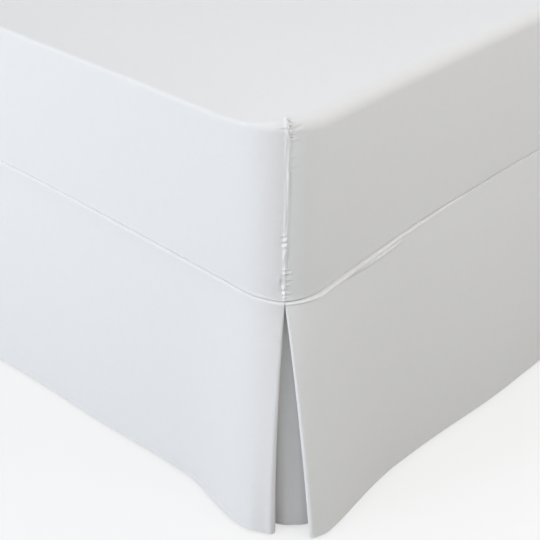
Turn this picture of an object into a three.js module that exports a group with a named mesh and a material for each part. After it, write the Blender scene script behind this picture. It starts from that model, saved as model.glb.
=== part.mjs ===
// A fitted valance sheet on a plain double mattress and bed base.
//
// One cloth covers the mattress's top and sides and is seamed down each corner. A tailored skirt is
// joined to it round the mattress's lower edge: four flat panels with turned-back ends, and behind
// each corner opening a pleat underlay that wraps the base.
//
// Millimetres, +Z up, the floor at z = 0. The bed is centred on the Z axis with its foot towards -Y.
import * as THREE from 'three';

// ---- Driving dimensions ------------------------------------------------------------------------

const WIDTH = 1350; // over the cloth's side faces, along X
const LENGTH = 1900; // over the cloth's end faces, along Y
const CORNER_RADIUS = 78; // plan radius of the bed's corners, at the cloth's outer face
const CLOTH = 2; // thickness of every sheet
const TOP_HEIGHT = 666; // floor to the cloth's face, at the crown of the top
const CORNER_SEAM_HEIGHT = 384.5; // floor to the join seam, at a corner, where it hangs lowest
const HEM_HEIGHT = 2; // floor to the skirt's hem
const JOIN_GAP = 0.3; // clear space between the cover's lower edge and the skirt's top edge
const MATTRESS_CLEARANCE = 4; // from the cover's outer face in to the mattress
const MATTRESS_BOTTOM = 398;
const BASE_INSET = 12; // from the cover's outer face in to the base
const BASE_TOP = 397.6;
const SEAM_RIDGE = { halfWidth: 3, height: 2.5 }; // the seam allowance that stands up down each corner
const CROWN_REACH = 190; // how far in from an edge the top goes on rising
const CORNER_REACH = 70; // how far from a long side the corner holds an end's edge up
const RETURN_LENGTH = 50; // how far a panel's turned-back end runs behind its face
const FOLD_CURL_REACH = 38; // how far from the corner a hem starts to curl back
const PLEAT = { topInset: 8, topRadius: 70, hemRadius: 58, reach: 95, hemHeight: 3 };

// The shape of the cloth on the bed's two ends.
const END = {
  edgeDrop: 16, // the edge of the top lies this far below the crown
  edgeRadius: 6, // rounding of that edge
  hemOut: 11, // the hem stands this far outside the cover's face
  hemSwell: 0, // and this much further along the middle of the side
  flare: 30, // or near a corner
  flareFrom: 50, // distance from the corner at which the flare starts to fade
  flareTo: 203, // distance at which it is gone
  foldRadiusTop: 1.5, // bend radius of the turned-back end, at the seam
  foldRadiusHem: 7, // and at the hem
  foldSetback: 5, // from the corner to the fold, at the hem
  foldCurl: 14, // the hem curls back this far as it comes to the fold
  pleatOut: 6, // the pleat underlay's hem stands this far outside the cover's face
};

// The same on its two long sides.
const LONG = {
  edgeDrop: 3,
  edgeRadius: 20,
  hemOut: 34.5,
  hemSwell: 7.5,
  flare: 25,
  flareFrom: 10,
  flareTo: 240,
  foldRadiusTop: 1.5,
  foldRadiusHem: 5,
  foldSetback: 13,
  foldCurl: 10,
  pleatOut: 29,
};

// The join seam rises from each corner towards the middle of the side: on an end it lifts sharply
// beside the corner and then climbs evenly, and on a long side it climbs in one slow curve.
const END_SEAM = { lift: 4.2, liftReach: 30, slope: 0.043, bend: 12, levelsFrom: 400 };
const LONG_SEAM = { rise: 29, reach: 240, power: 1.65 };

// Distances along the cloth from a corner's seam at which its shape is worked out.
const HALF_ARC = (CORNER_RADIUS * Math.PI) / 4;
const ON_CORNER = [SEAM_RIDGE.halfWidth, 12, 24, 42, HALF_ARC];
const ON_SIDE = [85, 115, 150, 195, 270, 380, 520];
const MATTRESS_DETAIL = 200; // the mattress's sides are plain beyond this distance from a seam
const SHOULDER_STEPS = [0, 30, 60, 90]; // degrees round the top edge
const TOP_RINGS = [1, 0.94, 0.8, 0.5]; // scales of the rings across the top, from the one below in
const FIRST_TOP_INSET = 50; // from the cover's face in to the first of those rings
const FOLD_STEPS = [45, 90, 135]; // degrees round a turned-back end
const BEND_STEPS = [0, 15, 30, 45, 60, 75, 90]; // degrees round a corner of the base or of a pleat
const PANEL_ROWS = [1, 0.5, 0]; // shares of the drop, from the hem up

// ---- The bed's plan ----------------------------------------------------------------------------

// The four sides, anticlockwise from above. `along` is the way round and `out` is the way outwards.
const SIDES = [
  { name: 'foot', kind: END, start: [-1, -1], along: [1, 0], out: [0, -1], length: WIDTH },
  { name: 'right', kind: LONG, start: [1, -1], along: [0, 1], out: [1, 0], length: LENGTH },
  { name: 'head', kind: END, start: [1, 1], along: [-1, 0], out: [0, 1], length: WIDTH },
  { name: 'left', kind: LONG, start: [-1, 1], along: [0, -1], out: [-1, 0], length: LENGTH },
];

// A plan point of a side: s along it from its sharp corner, e outwards from the cover's face.
function onSide(side, s, e) {
  const x = (side.start[0] * WIDTH) / 2 + side.along[0] * s + side.out[0] * e;
  const y = (side.start[1] * LENGTH) / 2 + side.along[1] * s + side.out[1] * e;
  return new THREE.Vector2(x, y);
}

const lerp = THREE.MathUtils.lerp;

// The cloth's length along a side, between the seams of its two corners.
function clothLength(side) {
  return side.length - 2 * CORNER_RADIUS + 2 * HALF_ARC;
}

// Height of the join seam at distance t along the cloth from the nearest corner's seam.
function seamHeight(side, t) {
  if (side.kind === LONG) {
    const left = Math.exp(-((t / LONG_SEAM.reach) ** LONG_SEAM.power));
    return CORNER_SEAM_HEIGHT + LONG_SEAM.rise * (1 - left);
  }
  const past = Math.max(0, t - END_SEAM.levelsFrom);
  const levelled = (past * past) / (clothLength(side) - 2 * END_SEAM.levelsFrom);
  const lift = END_SEAM.lift * ((t * t) / (t * t + END_SEAM.liftReach ** 2));
  return CORNER_SEAM_HEIGHT + lift + END_SEAM.slope * ((t * t) / (t + END_SEAM.bend) - levelled);
}

// The stations of a side as distances t along the cloth from its first corner's seam to its last's.
function stations(side, onCorner) {
  const first = [...onCorner, ...ON_SIDE];
  const total = clothLength(side);
  return [...first, total / 2, ...first.map((t) => total - t).reverse()];
}

// ---- Solids ------------------------------------------------------------------------------------

// A closed solid through loops of like count, each anticlockwise about the way from first to last.
// The ends are closed by fans round `firstCentre` and `lastCentre`, or round the loops' own means.
function loft(loops, firstCentre, lastCentre) {
  const count = loops[0].length;
  const mean = (loop) => loop.reduce((sum, p) => sum.add(p), new THREE.Vector3()).divideScalar(count);
  const points = [...loops.flat(), firstCentre ?? mean(loops[0]), lastCentre ?? mean(loops.at(-1))];
  const firstIndex = loops.length * count;
  const lastStart = firstIndex - count;
  const triangles = [];
  for (let j = 0; j < count; j += 1) {
    const next = (j + 1) % count;
    for (let start = 0; start < lastStart; start += count) {
      const above = start + count;
      triangles.push(start + j, start + next, above + next);
      triangles.push(start + j, above + next, above + j);
    }
    triangles.push(firstIndex, next, j);
    triangles.push(firstIndex + 1, lastStart + j, lastStart + next);
  }
  const geometry = new THREE.BufferGeometry().setFromPoints(points);
  geometry.setIndex(triangles);
  geometry.computeVertexNormals();
  return geometry;
}

// A sheet of CLOTH thickness about a middle surface. `rows` run from the hem up, and each holds the
// surface's points along the cloth, with the outer face on the right of the way along.
function sheet(rows) {
  const count = rows[0].length;
  const faces = rows.map((row) =>
    row.map((point, i) => {
      const way = row[Math.min(i + 1, count - 1)].clone().sub(row[Math.max(i - 1, 0)]);
      const right = new THREE.Vector3(way.y, -way.x, 0).setLength(CLOTH / 2);
      return { outer: point.clone().add(right), inner: point.clone().sub(right) };
    }),
  );
  const sections = rows[0].map((_, i) => [
    ...faces.map((row) => row[i].inner),
    ...faces.map((row) => row[i].outer).reverse(),
  ]);
  return loft(sections);
}

// ---- The cover and the mattress ----------------------------------------------------------------

// How far a place round a corner has gone from one side's shape to the next side's, from 0 to 0.5.
function cornerShare(t) {
  return 0.5 * (1 - THREE.MathUtils.smoothstep(t, 0, HALF_ARC));
}

// One column for each station round the bed: its plan point, the way outwards and its edge's shape.
function boxColumns() {
  return SIDES.flatMap((side, index) => {
    const total = clothLength(side);
    return stations(side, [0, ...ON_CORNER]).slice(0, -1).map((t) => {
      const near = Math.min(t, total - t);
      const turn = Math.max(0, HALF_ARC - near) / CORNER_RADIUS;
      const arc = CORNER_RADIUS * Math.sin(turn);
      const s = near < HALF_ARC ? CORNER_RADIUS - arc : near + CORNER_RADIUS - HALF_ARC;
      const e = CORNER_RADIUS * (Math.cos(turn) - 1);
      const towardsStart = t < total / 2;
      const lean = towardsStart ? -Math.sin(turn) : Math.sin(turn);
      const point = onSide(side, towardsStart ? s : side.length - s, e);
      const normal = new THREE.Vector2(...side.out).multiplyScalar(Math.cos(turn));
      normal.add(new THREE.Vector2(...side.along).multiplyScalar(lean));
      const other = SIDES[(index + (towardsStart ? 3 : 1)) % 4].kind;
      const share = cornerShare(near);
      return {
        point,
        normal,
        seam: seamHeight(side, near),
        onRidge: near === 0,
        nearCorner: near > 0 && near <= MATTRESS_DETAIL,
        edgeRadius: lerp(side.kind.edgeRadius, other.edgeRadius, share),
      };
    });
  });
}

// Height of the cloth's face over a plan point of the top.
function topHeight(x, y) {
  const rise = (distance) => Math.exp(-((distance / CROWN_REACH) ** 2));
  const fromLong = WIDTH / 2 - Math.abs(x);
  const fromEnd = LENGTH / 2 - Math.abs(y);
  const free = 1 - Math.exp(-((fromLong / CORNER_REACH) ** 2));
  return TOP_HEIGHT - LONG.edgeDrop * rise(fromLong) - END.edgeDrop * rise(fromEnd) * free;
}

// Loops of the box's surface at `inset` under the cloth's outer face, from its foot up to its crown.
function boxLoops(columns, inset, footHeight, ridge) {
  const place = (column, depth, height) =>
    new THREE.Vector3(
      column.point.x - column.normal.x * depth,
      column.point.y - column.normal.y * depth,
      height,
    );
  const raise = (column) => (column.onRidge ? ridge : 0);
  const loops = [columns.map((column) => place(column, inset - raise(column), footHeight(column)))];
  for (const degrees of SHOULDER_STEPS) {
    const angle = THREE.MathUtils.degToRad(degrees);
    loops.push(
      columns.map((column) => {
        const radius = column.edgeRadius - inset + raise(column);
        const depth = column.edgeRadius - radius * Math.cos(angle);
        const edge = place(column, column.edgeRadius, 0);
        const centre = topHeight(edge.x, edge.y) - column.edgeRadius;
        return place(column, depth, centre + radius * Math.sin(angle));
      }),
    );
  }
  const ring = columns.map((column) => place(column, FIRST_TOP_INSET, 0));
  for (const scale of TOP_RINGS) {
    loops.push(ring.map((p) => topPoint(p.x * scale, p.y * scale, inset)));
  }
  return loops;
}

const topPoint = (x, y, inset) => new THREE.Vector3(x, y, topHeight(x, y) - inset);

function fittedCover() {
  const columns = boxColumns();
  const foot = (column) => column.seam + JOIN_GAP / 2;
  const inside = boxLoops(columns, CLOTH, foot, 0).reverse();
  const outside = boxLoops(columns, 0, foot, SEAM_RIDGE.height);
  return loft([...inside, ...outside]);
}

function mattress() {
  const columns = boxColumns().filter((column) => column.nearCorner);
  return loft(boxLoops(columns, MATTRESS_CLEARANCE, () => MATTRESS_BOTTOM, 0));
}

// ---- The base ----------------------------------------------------------------------------------

// The plan path round the corner at which `side` ends. It lies `before` outside that side's face and
// `after` outside the next one's.
function cornerBend(side, before, after, radius) {
  return BEND_STEPS.map((degrees) => {
    const angle = THREE.MathUtils.degToRad(degrees);
    const s = side.length + after - radius * (1 - Math.sin(angle));
    return onSide(side, s, before - radius * (1 - Math.cos(angle)));
  });
}

const raised = (path, height) => path.map((p) => new THREE.Vector3(p.x, p.y, height));

function bedBase() {
  const radius = CORNER_RADIUS - BASE_INSET;
  const outline = SIDES.flatMap((side) => cornerBend(side, -BASE_INSET, -BASE_INSET, radius));
  return loft([raised(outline, 0), raised(outline, BASE_TOP)]);
}

// ---- The skirt ---------------------------------------------------------------------------------

// A panel's face at distance t from the nearest corner's seam: [s, e] of its top and of its hem.
function panelFace(side, t) {
  const kind = side.kind;
  const radius = CORNER_RADIUS - CLOTH / 2;
  const turn = Math.max(0, HALF_ARC - t) / CORNER_RADIUS;
  const topS = CORNER_RADIUS - radius * Math.sin(turn) + Math.max(0, t - HALF_ARC);
  const topE = radius * Math.cos(turn) - CORNER_RADIUS;
  const settled = THREE.MathUtils.smoothstep(t, 0, kind.flareTo);
  const s = t + lerp(kind.foldSetback, CORNER_RADIUS - HALF_ARC, settled);
  const fade = 1 - THREE.MathUtils.smoothstep(s, kind.flareFrom, kind.flareTo);
  const swell = kind.hemSwell * THREE.MathUtils.smoothstep(s, kind.flareTo, 2 * kind.flareTo);
  const curl = kind.foldCurl * (1 - THREE.MathUtils.smoothstep(s, 0, FOLD_CURL_REACH));
  return { top: [topS, topE], hem: [s, kind.hemOut + kind.flare * fade + swell - curl] };
}

// One row of a panel, at `share` of its drop: the turned-back ends and the face between them.
function panelRow(side, share) {
  const total = clothLength(side);
  const foldRadius = lerp(side.kind.foldRadiusTop, side.kind.foldRadiusHem, share);
  const face = stations(side, ON_CORNER).map((t) => {
    const near = Math.min(t, total - t);
    const { top, hem } = panelFace(side, near);
    const s = lerp(top[0], hem[0], share);
    const e = lerp(top[1], hem[1], share);
    const height = lerp(seamHeight(side, near) - JOIN_GAP / 2, HEM_HEIGHT, share);
    const plan = onSide(side, t < total / 2 ? s : side.length - s, e);
    return new THREE.Vector3(plan.x, plan.y, height);
  });
  const start = turnBack(face, foldRadius, -1).reverse();
  return [...start, ...face, ...turnBack(face.toReversed(), foldRadius, 1)];
}

// The bend and the return behind the end that `face` starts from. `hand` is 1 where the outer face
// is on the right of the way out of that end, and -1 where it is on the left.
function turnBack(face, radius, hand) {
  const way = face[0].clone().sub(face[1]).setZ(0).normalize();
  const inwards = new THREE.Vector3(-way.y, way.x, 0).multiplyScalar(hand);
  const bend = FOLD_STEPS.map((degrees) => {
    const angle = THREE.MathUtils.degToRad(degrees);
    const point = face[0].clone().addScaledVector(way, radius * Math.sin(angle));
    return point.addScaledVector(inwards, radius * (1 - Math.cos(angle)));
  });
  let run = 0;
  const back = [face[0].clone().addScaledVector(inwards, 2 * radius)];
  for (let i = 1; run < RETURN_LENGTH; i += 1) {
    const step = face[i].clone().sub(face[i - 1]).setZ(0);
    run += step.length();
    const inside = new THREE.Vector3(step.y, -step.x, 0).setLength(2 * radius * hand);
    back.push(face[i].clone().add(inside));
  }
  return [...bend, ...back];
}

function skirtPanel(side) {
  return sheet(PANEL_ROWS.map((share) => panelRow(side, share)));
}

// One edge of a pleat underlay, round the corner between two sides.
function pleatEdge(side, next, before, after, radius) {
  const first = onSide(side, side.length - PLEAT.reach, before);
  const last = onSide(next, PLEAT.reach, after);
  return [first, ...cornerBend(side, before, after, radius), last];
}

function pleatUnderlay(side, next) {
  const top = pleatEdge(side, next, -PLEAT.topInset, -PLEAT.topInset, PLEAT.topRadius);
  const hem = pleatEdge(side, next, side.kind.pleatOut, next.kind.pleatOut, PLEAT.hemRadius);
  return sheet([raised(hem, PLEAT.hemHeight), raised(top, CORNER_SEAM_HEIGHT - JOIN_GAP)]);
}

// ---- The scene graph ---------------------------------------------------------------------------

const COTTON = { color: '#f3f3f4', roughness: 0.9, metalness: 0 };
const TICKING = { color: '#dcd8cf', roughness: 0.95, metalness: 0 };
const UPHOLSTERY = { color: '#8d8a86', roughness: 0.95, metalness: 0 };

function part(name, geometry, look) {
  const mesh = new THREE.Mesh(geometry, new THREE.MeshStandardMaterial(look));
  mesh.name = name;
  return mesh;
}

const valanceSheet = new THREE.Group();
valanceSheet.add(part('bed_base', bedBase(), UPHOLSTERY));
valanceSheet.add(part('mattress', mattress(), TICKING));
valanceSheet.add(part('fitted_cover', fittedCover(), COTTON));
SIDES.forEach((side, i) => {
  const next = SIDES[(i + 1) % SIDES.length];
  valanceSheet.add(part(`skirt_${side.name}`, skirtPanel(side), COTTON));
  valanceSheet.add(part(`pleat_${side.name}_${next.name}`, pleatUnderlay(side, next), COTTON));
});

export default valanceSheet;
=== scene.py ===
"""A fitted valance sheet on a plain double bed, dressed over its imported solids.

The cover, the four skirt panels and the four pleat underlays are sheets of white cotton percale.
Each is a grid whose vertices are moved to the cloth's hanging shape, and then given its thickness.
Sizes are in millimetres and meshes in metres, +Z up, with the bed's foot towards -Y.
"""

import logging
import math
from dataclasses import dataclass, field
from enum import Enum

import bpy
import numpy as np
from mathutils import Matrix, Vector


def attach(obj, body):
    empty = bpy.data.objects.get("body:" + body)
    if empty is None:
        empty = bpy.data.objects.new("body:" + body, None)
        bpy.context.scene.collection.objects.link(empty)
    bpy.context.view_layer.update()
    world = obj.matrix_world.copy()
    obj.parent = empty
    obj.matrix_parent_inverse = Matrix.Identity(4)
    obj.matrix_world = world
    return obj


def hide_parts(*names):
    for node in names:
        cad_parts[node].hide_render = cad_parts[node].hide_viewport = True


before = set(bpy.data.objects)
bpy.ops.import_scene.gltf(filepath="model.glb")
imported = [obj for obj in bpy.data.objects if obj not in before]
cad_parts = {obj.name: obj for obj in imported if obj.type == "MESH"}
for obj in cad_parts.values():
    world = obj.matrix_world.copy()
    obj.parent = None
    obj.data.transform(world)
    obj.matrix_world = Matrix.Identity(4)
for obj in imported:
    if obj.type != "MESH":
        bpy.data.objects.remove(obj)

MM = 0.001
BODY = "root"
LOG = logging.getLogger("valance_sheet")

Knots = tuple[tuple[float, float], ...]
"""The knots of a smooth line: a distance along it and the value there."""
Waves = tuple[tuple[float, float, float], ...]
"""Waves that are added up: the height of each, its length over 2 pi, and its phase."""
Span = tuple[float, float]
"""Where something starts and where it ends."""


class Slot(Enum):
    """The record's material slots."""

    COTTON = "white_cotton"
    TICKING = "mattress_ticking"
    UPHOLSTERY = "base_upholstery"


class Hold(Enum):
    """How a sheet of cloth is held."""

    STRETCHED = "stretched"
    HUNG = "hung"


# ---- Shape functions ---------------------------------------------------------------------------


def smoothstep(x: np.ndarray, low: float | np.ndarray, high: float | np.ndarray) -> np.ndarray:
    """Eases from 0 at `low` to 1 at `high`."""
    share = np.clip((x - low) / (high - low), 0.0, 1.0)
    return share * share * (3.0 - 2.0 * share)


def lerp(first: np.ndarray, last: np.ndarray, share: np.ndarray) -> np.ndarray:
    """Goes from `first` to `last` by `share`."""
    return first + (last - first) * share


def bump(x: np.ndarray, centre: float, spread: float) -> np.ndarray:
    """A soft ridge of height 1 at `centre`."""
    return np.exp(-(((x - centre) / spread) ** 2))


def through(x: np.ndarray, knots: Knots) -> np.ndarray:
    """A smooth line through knots.

    Args:
        x: Where to read it.
        knots: Its points, with their distances rising.

    Returns:
        The line's heights at `x`, level beyond the end knots.
    """
    xs, ys = (np.array(v, float) for v in zip(*knots))
    slopes = np.gradient(ys, xs)
    x = np.clip(x, xs[0], xs[-1])
    at = np.clip(np.searchsorted(xs, x, side="right") - 1, 0, len(xs) - 2)
    width = xs[at + 1] - xs[at]
    t = (x - xs[at]) / width
    start = (1 + 2 * t) * (1 - t) ** 2 * ys[at] + t * (1 - t) ** 2 * width * slopes[at]
    end = t * t * (3 - 2 * t) * ys[at + 1] + t * t * (t - 1) * width * slopes[at + 1]
    return start + end


def ripple(x: np.ndarray, waves: Waves, mean: float = 0.0) -> np.ndarray:
    """Adds waves to a mean."""
    return sum((height * np.sin(x / length + phase) for height, length, phase in waves), mean)


def unit(vectors: np.ndarray) -> np.ndarray:
    """Scales vectors to length 1."""
    return vectors / np.linalg.norm(vectors, axis=-1, keepdims=True)


def rightwards(ways: np.ndarray) -> np.ndarray:
    """Turns plan vectors a quarter to the right, at length 1."""
    return unit(np.stack([ways[..., 1], -ways[..., 0]], axis=-1))


def merge_points(distance: float, outwards: bool = False) -> None:
    """Merges the points of the active mesh that lie together.

    Args:
        distance: How close they lie, in millimetres.
        outwards: Whether its faces are then turned outwards too.
    """
    bpy.ops.object.mode_set(mode="EDIT")
    bpy.ops.mesh.select_all(action="SELECT")
    bpy.ops.mesh.remove_doubles(threshold=distance * MM)
    if outwards:
        bpy.ops.mesh.normals_make_consistent(inside=False)
    bpy.ops.object.mode_set(mode="OBJECT")


def vertex_places(mesh: bpy.types.Mesh) -> np.ndarray:
    """Reads a mesh's vertices.

    Args:
        mesh: The mesh.

    Returns:
        The vertices, one to a row.
    """
    places = np.empty(len(mesh.vertices) * 3)
    mesh.vertices.foreach_get("co", places)
    return places.reshape(-1, 3)


# ---- The bed -----------------------------------------------------------------------------------


@dataclass(frozen=True)
class SideShape:
    """How the cloth sits on one kind of side, in millimetres."""

    edge_drop: float
    """How far the edge of the top lies below the crown."""
    edge_radius: float
    """Rounding of that edge."""
    hem_out: float
    """How far the hem stands outside the cover's face."""
    hem_swell: float
    """How much further it stands along the middle of the side."""
    flare: float
    """How much further it stands near a corner."""
    flare_from: float
    """Distance from the corner at which that flare starts to fade."""
    flare_to: float
    """Distance at which it is gone."""
    fold_radius_top: float
    """Bend radius of a turned-back end, at the seam."""
    fold_radius_hem: float
    """The same at the hem."""
    fold_opens: float
    """Power of the drop's share that the radius follows."""
    fold_setback: float
    """From the corner to the fold, at the hem."""
    fold_curl: float
    """How far the hem curls back as it comes to the fold."""
    fold_bow: float
    """Power of the drop's share that the fold's line follows: 1 is straight."""
    fold_gap: float
    """From the corner's seam to where the panel's face ends, at the join."""
    pleat_out: float
    """How far the pleat underlay's hem stands outside the cover's face."""
    cover_laps: float
    """How far the cover's edge laps over the join seam, away from the corner."""
    cover_roll: Knots
    """How far the cover's edge puffs out over the join seam, by distance from the corner."""
    skirt_roll: Knots
    """How far the skirt's edge puffs out under it, by distance from the corner."""
    roll_at: float
    """How far below the cover's edge that puff is widest."""
    roll_falls: float
    """Over how much of the drop it goes back in."""
    groove: Span
    """Distances down from the cover's edge over which the skirt comes out from under it."""
    second_roll: float
    """Height of the second ridge, which runs down and away from the skirt's edge."""


END = SideShape(
    edge_drop=16,
    edge_radius=6,
    hem_out=11,
    hem_swell=0,
    flare=30,
    flare_from=50,
    flare_to=203,
    fold_radius_top=1.5,
    fold_radius_hem=7,
    fold_opens=1,
    fold_setback=5,
    fold_curl=14,
    fold_bow=0.98,
    fold_gap=-0.5,
    pleat_out=6,
    cover_laps=0.9,
    cover_roll=((0, 1.5), (30, 1.3), (66, 0.6), (200, 0.4)),
    skirt_roll=((0, 1.6), (60, 1.5), (400, 1.3)),
    roll_at=3.0,
    roll_falls=12,
    groove=(-0.4, 0.9),
    second_roll=0,
)
LONG = SideShape(
    edge_drop=3,
    edge_radius=20,
    hem_out=34.5,
    hem_swell=7.5,
    flare=25,
    flare_from=10,
    flare_to=240,
    fold_radius_top=1.5,
    fold_radius_hem=5,
    fold_opens=0.5,
    fold_setback=13,
    fold_curl=10,
    fold_bow=0.88,
    fold_gap=4,
    pleat_out=29,
    cover_laps=2.0,
    cover_roll=((0, 1.5), (14, 1.2), (30, 0.4), (400, 0.2)),
    skirt_roll=(
        *((0, 1.2), (20, 2.2), (60, 3.3), (110, 3.0), (135, 1.8)),
        *((170, 2.4), (240, 1.0), (300, 0.4), (400, 0.1)),
    ),
    roll_at=2.8,
    roll_falls=1.6,
    groove=(1.0, 1.9),
    second_roll=2.7,
)


@dataclass(frozen=True)
class Side:
    """One side of the bed, anticlockwise from above."""

    name: str
    shape: SideShape
    start: tuple[int, int]
    """The corner that it starts from, as the signs of x and y."""
    along: tuple[int, int]
    """The way it runs."""
    out: tuple[int, int]
    """The way it faces."""
    length: float


@dataclass(frozen=True)
class Bed:
    """The bed's outline over the cloth, in millimetres."""

    width: float = 1350
    length: float = 1900
    corner_radius: float = 78
    crown: float = 666
    """Height of the middle of the top."""
    crown_reach: float = 190
    """How far in from the edges the top comes up to the crown."""
    corner_reach: float = 70
    """How far from a long side the ends' own drop fades."""
    corner_seam: float = 384.5
    """Height of the join seam at the corners."""
    long_rise: float = 29
    """How far the join seam rises along a long side, over what distance and by what power."""
    long_rise_reach: float = 240
    long_rise_power: float = 1.65
    end_step: float = 4.2
    """How far it steps up beside a corner on an end, and over what distance."""
    end_step_reach: float = 30
    end_slope: float = 0.043
    """The slope at which it then climbs, and the distances over which that starts and ends."""
    end_slope_starts: float = 12
    end_slope_ends: float = 400
    lap_grows: Span = (15, 60)
    """Distances from a corner over which the cover's edge comes to lap over the join seam."""
    hem: float = 2
    """Height of the hem over the floor."""
    join_gap: float = 0.3

    @property
    def half_arc(self) -> float:
        """The cloth's length from a corner's seam to where its side runs straight."""
        return self.corner_radius * math.pi / 4

    @property
    def sides(self) -> tuple[Side, ...]:
        """The four sides of the bed.

        Returns:
            The foot, the right side, the head and the left side.
        """
        return (
            Side("foot", END, (-1, -1), (1, 0), (0, -1), self.width),
            Side("right", LONG, (1, -1), (0, 1), (1, 0), self.length),
            Side("head", END, (1, 1), (-1, 0), (0, 1), self.width),
            Side("left", LONG, (-1, 1), (0, -1), (-1, 0), self.length),
        )

    def cloth_length(self, side: Side) -> float:
        """The cloth's length along a side, between the seams of its two corners."""
        return side.length - 2 * self.corner_radius + 2 * self.half_arc

    def on_side(self, side: Side, s: np.ndarray, e: np.ndarray) -> np.ndarray:
        """Plan points of a side.

        Args:
            side: The side.
            s: Distance along it from its sharp corner.
            e: Distance outwards from the cover's face.

        Returns:
            The points, with x and y on the last axis.
        """
        x = side.start[0] * self.width / 2 + side.along[0] * s + side.out[0] * e
        y = side.start[1] * self.length / 2 + side.along[1] * s + side.out[1] * e
        return np.stack([x, y], axis=-1)

    def seam_height(self, side: Side, t: np.ndarray) -> np.ndarray:
        """Height of the join seam.

        Args:
            side: The side.
            t: Distance along the cloth from the nearest corner's seam.

        Returns:
            The height there.
        """
        if side.shape is LONG:
            climbed = 1 - np.exp(-((t / self.long_rise_reach) ** self.long_rise_power))
            return self.corner_seam + self.long_rise * climbed
        past = np.maximum(0, t - self.end_slope_ends)
        levelled = past * past / (self.cloth_length(side) - 2 * self.end_slope_ends)
        run = t * t / (t + self.end_slope_starts) - levelled
        step = self.end_step * t * t / (t * t + self.end_step_reach**2)
        return self.corner_seam + step + self.end_slope * run

    def top_height(self, x: np.ndarray, y: np.ndarray) -> np.ndarray:
        """Height of the cloth's face over the top.

        Args:
            x: How far across the bed, from its middle.
            y: How far along it.

        Returns:
            The height there.
        """
        from_long = self.width / 2 - np.abs(x)
        from_end = self.length / 2 - np.abs(y)
        free = 1 - bump(from_long, 0, self.corner_reach)
        long_drop = LONG.edge_drop * bump(from_long, 0, self.crown_reach)
        end_drop = END.edge_drop * bump(from_end, 0, self.crown_reach) * free
        return self.crown - long_drop - end_drop

    def round_corner(self, before: Side, after: Side, q: np.ndarray) -> tuple[np.ndarray, np.ndarray]:
        """Plan points of the cover's face on either side of a corner.

        Args:
            before: The side that ends at the corner.
            after: The side that starts there.
            q: Distance along the cloth past the middle of the corner, negative on `before`.

        Returns:
            The points, and the way outwards at each.
        """
        radius = self.corner_radius
        near = np.abs(q)
        turn = np.maximum(0, self.half_arc - near) / radius
        s = np.where(near < self.half_arc, radius * (1 - np.sin(turn)), near + radius - self.half_arc)
        e = radius * (np.cos(turn) - 1)
        first = (q < 0)[..., None]
        points = np.where(
            first, self.on_side(before, before.length - s, e), self.on_side(after, s, e)
        )
        lean, face = np.sin(turn)[..., None], np.cos(turn)[..., None]
        out_before = face * np.array(before.out) + lean * np.array(before.along)
        out_after = face * np.array(after.out) - lean * np.array(after.along)
        return points, np.where(first, out_before, out_after)


# ---- Materials ---------------------------------------------------------------------------------


def linear(code: str) -> tuple[float, float, float, float]:
    """Turns an sRGB hex colour to the linear values that a shader takes.

    Args:
        code: The colour, as #rrggbb.

    Returns:
        Its red, green and blue, and an alpha of 1.
    """
    parts = [int(code[i : i + 2], 16) / 255 for i in (1, 3, 5)]
    red, green, blue = (p / 12.92 if p <= 0.04045 else ((p + 0.055) / 1.055) ** 2.4 for p in parts)
    return red, green, blue, 1.0


def add_node(
    tree: bpy.types.NodeTree,
    kind: str,
    settings: dict[str | int, object] | None = None,
    links: dict[str | int, bpy.types.NodeSocket] | None = None,
) -> bpy.types.Node:
    """Adds a node with its settings and what feeds it.

    Args:
        tree: The material's node tree.
        kind: The node's type.
        settings: Values by the name of a property, or the name or number of an input.
        links: The output that feeds each input, by its name or number.

    Returns:
        The node.
    """
    node = tree.nodes.new(kind)
    for name, value in (settings or {}).items():
        if isinstance(name, str) and hasattr(node, name):
            setattr(node, name, value)
        else:
            node.inputs[name].default_value = value
    for name, output in (links or {}).items():
        tree.links.new(output, node.inputs[name])
    return node


@dataclass(frozen=True)
class Finish:
    """What all the finishes share: two near colours, and fine relief where there is any."""

    name: str
    light: str
    dark: str
    roughness: float
    relief: float = 0.0
    """Depth of the relief."""
    strength: float = 1.0
    """How much of that depth the light shows."""

    def start(self) -> tuple[bpy.types.Material, bpy.types.NodeTree]:
        """Makes an empty material.

        Returns:
            The material and its node tree.
        """
        material = bpy.data.materials.new(self.name)
        material.use_nodes = True
        material.node_tree.nodes.clear()
        return material, material.node_tree

    def surface(
        self,
        tree: bpy.types.NodeTree,
        share: bpy.types.NodeSocket,
        height: bpy.types.NodeSocket | None = None,
        settings: dict[str | int, object] | None = None,
        links: dict[str | int, bpy.types.NodeSocket] | None = None,
    ) -> None:
        """Ends the material with its two colours, its relief and its shader.

        Args:
            tree: The material's node tree.
            share: How much of the dark colour shows, from 0 to 1.
            height: The pattern of the relief, where there is one.
            settings: The shader's values beside its roughness.
            links: What feeds the shader beside its colour and its relief.
        """
        colour = add_node(
            tree,
            "ShaderNodeMix",
            {"data_type": "RGBA", 6: linear(self.light), 7: linear(self.dark)},
            {0: share},
        )
        feeds = {"Base Color": colour.outputs[2], **(links or {})}
        if height is not None:
            depth = {"Strength": self.strength, "Distance": self.relief}
            bumped = add_node(tree, "ShaderNodeBump", depth, {"Height": height})
            feeds["Normal"] = bumped.outputs["Normal"]
        values = {"Roughness": self.roughness, **(settings or {})}
        shader = add_node(tree, "ShaderNodeBsdfPrincipled", values, feeds)
        add_node(tree, "ShaderNodeOutputMaterial", links={"Surface": shader.outputs["BSDF"]})


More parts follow.
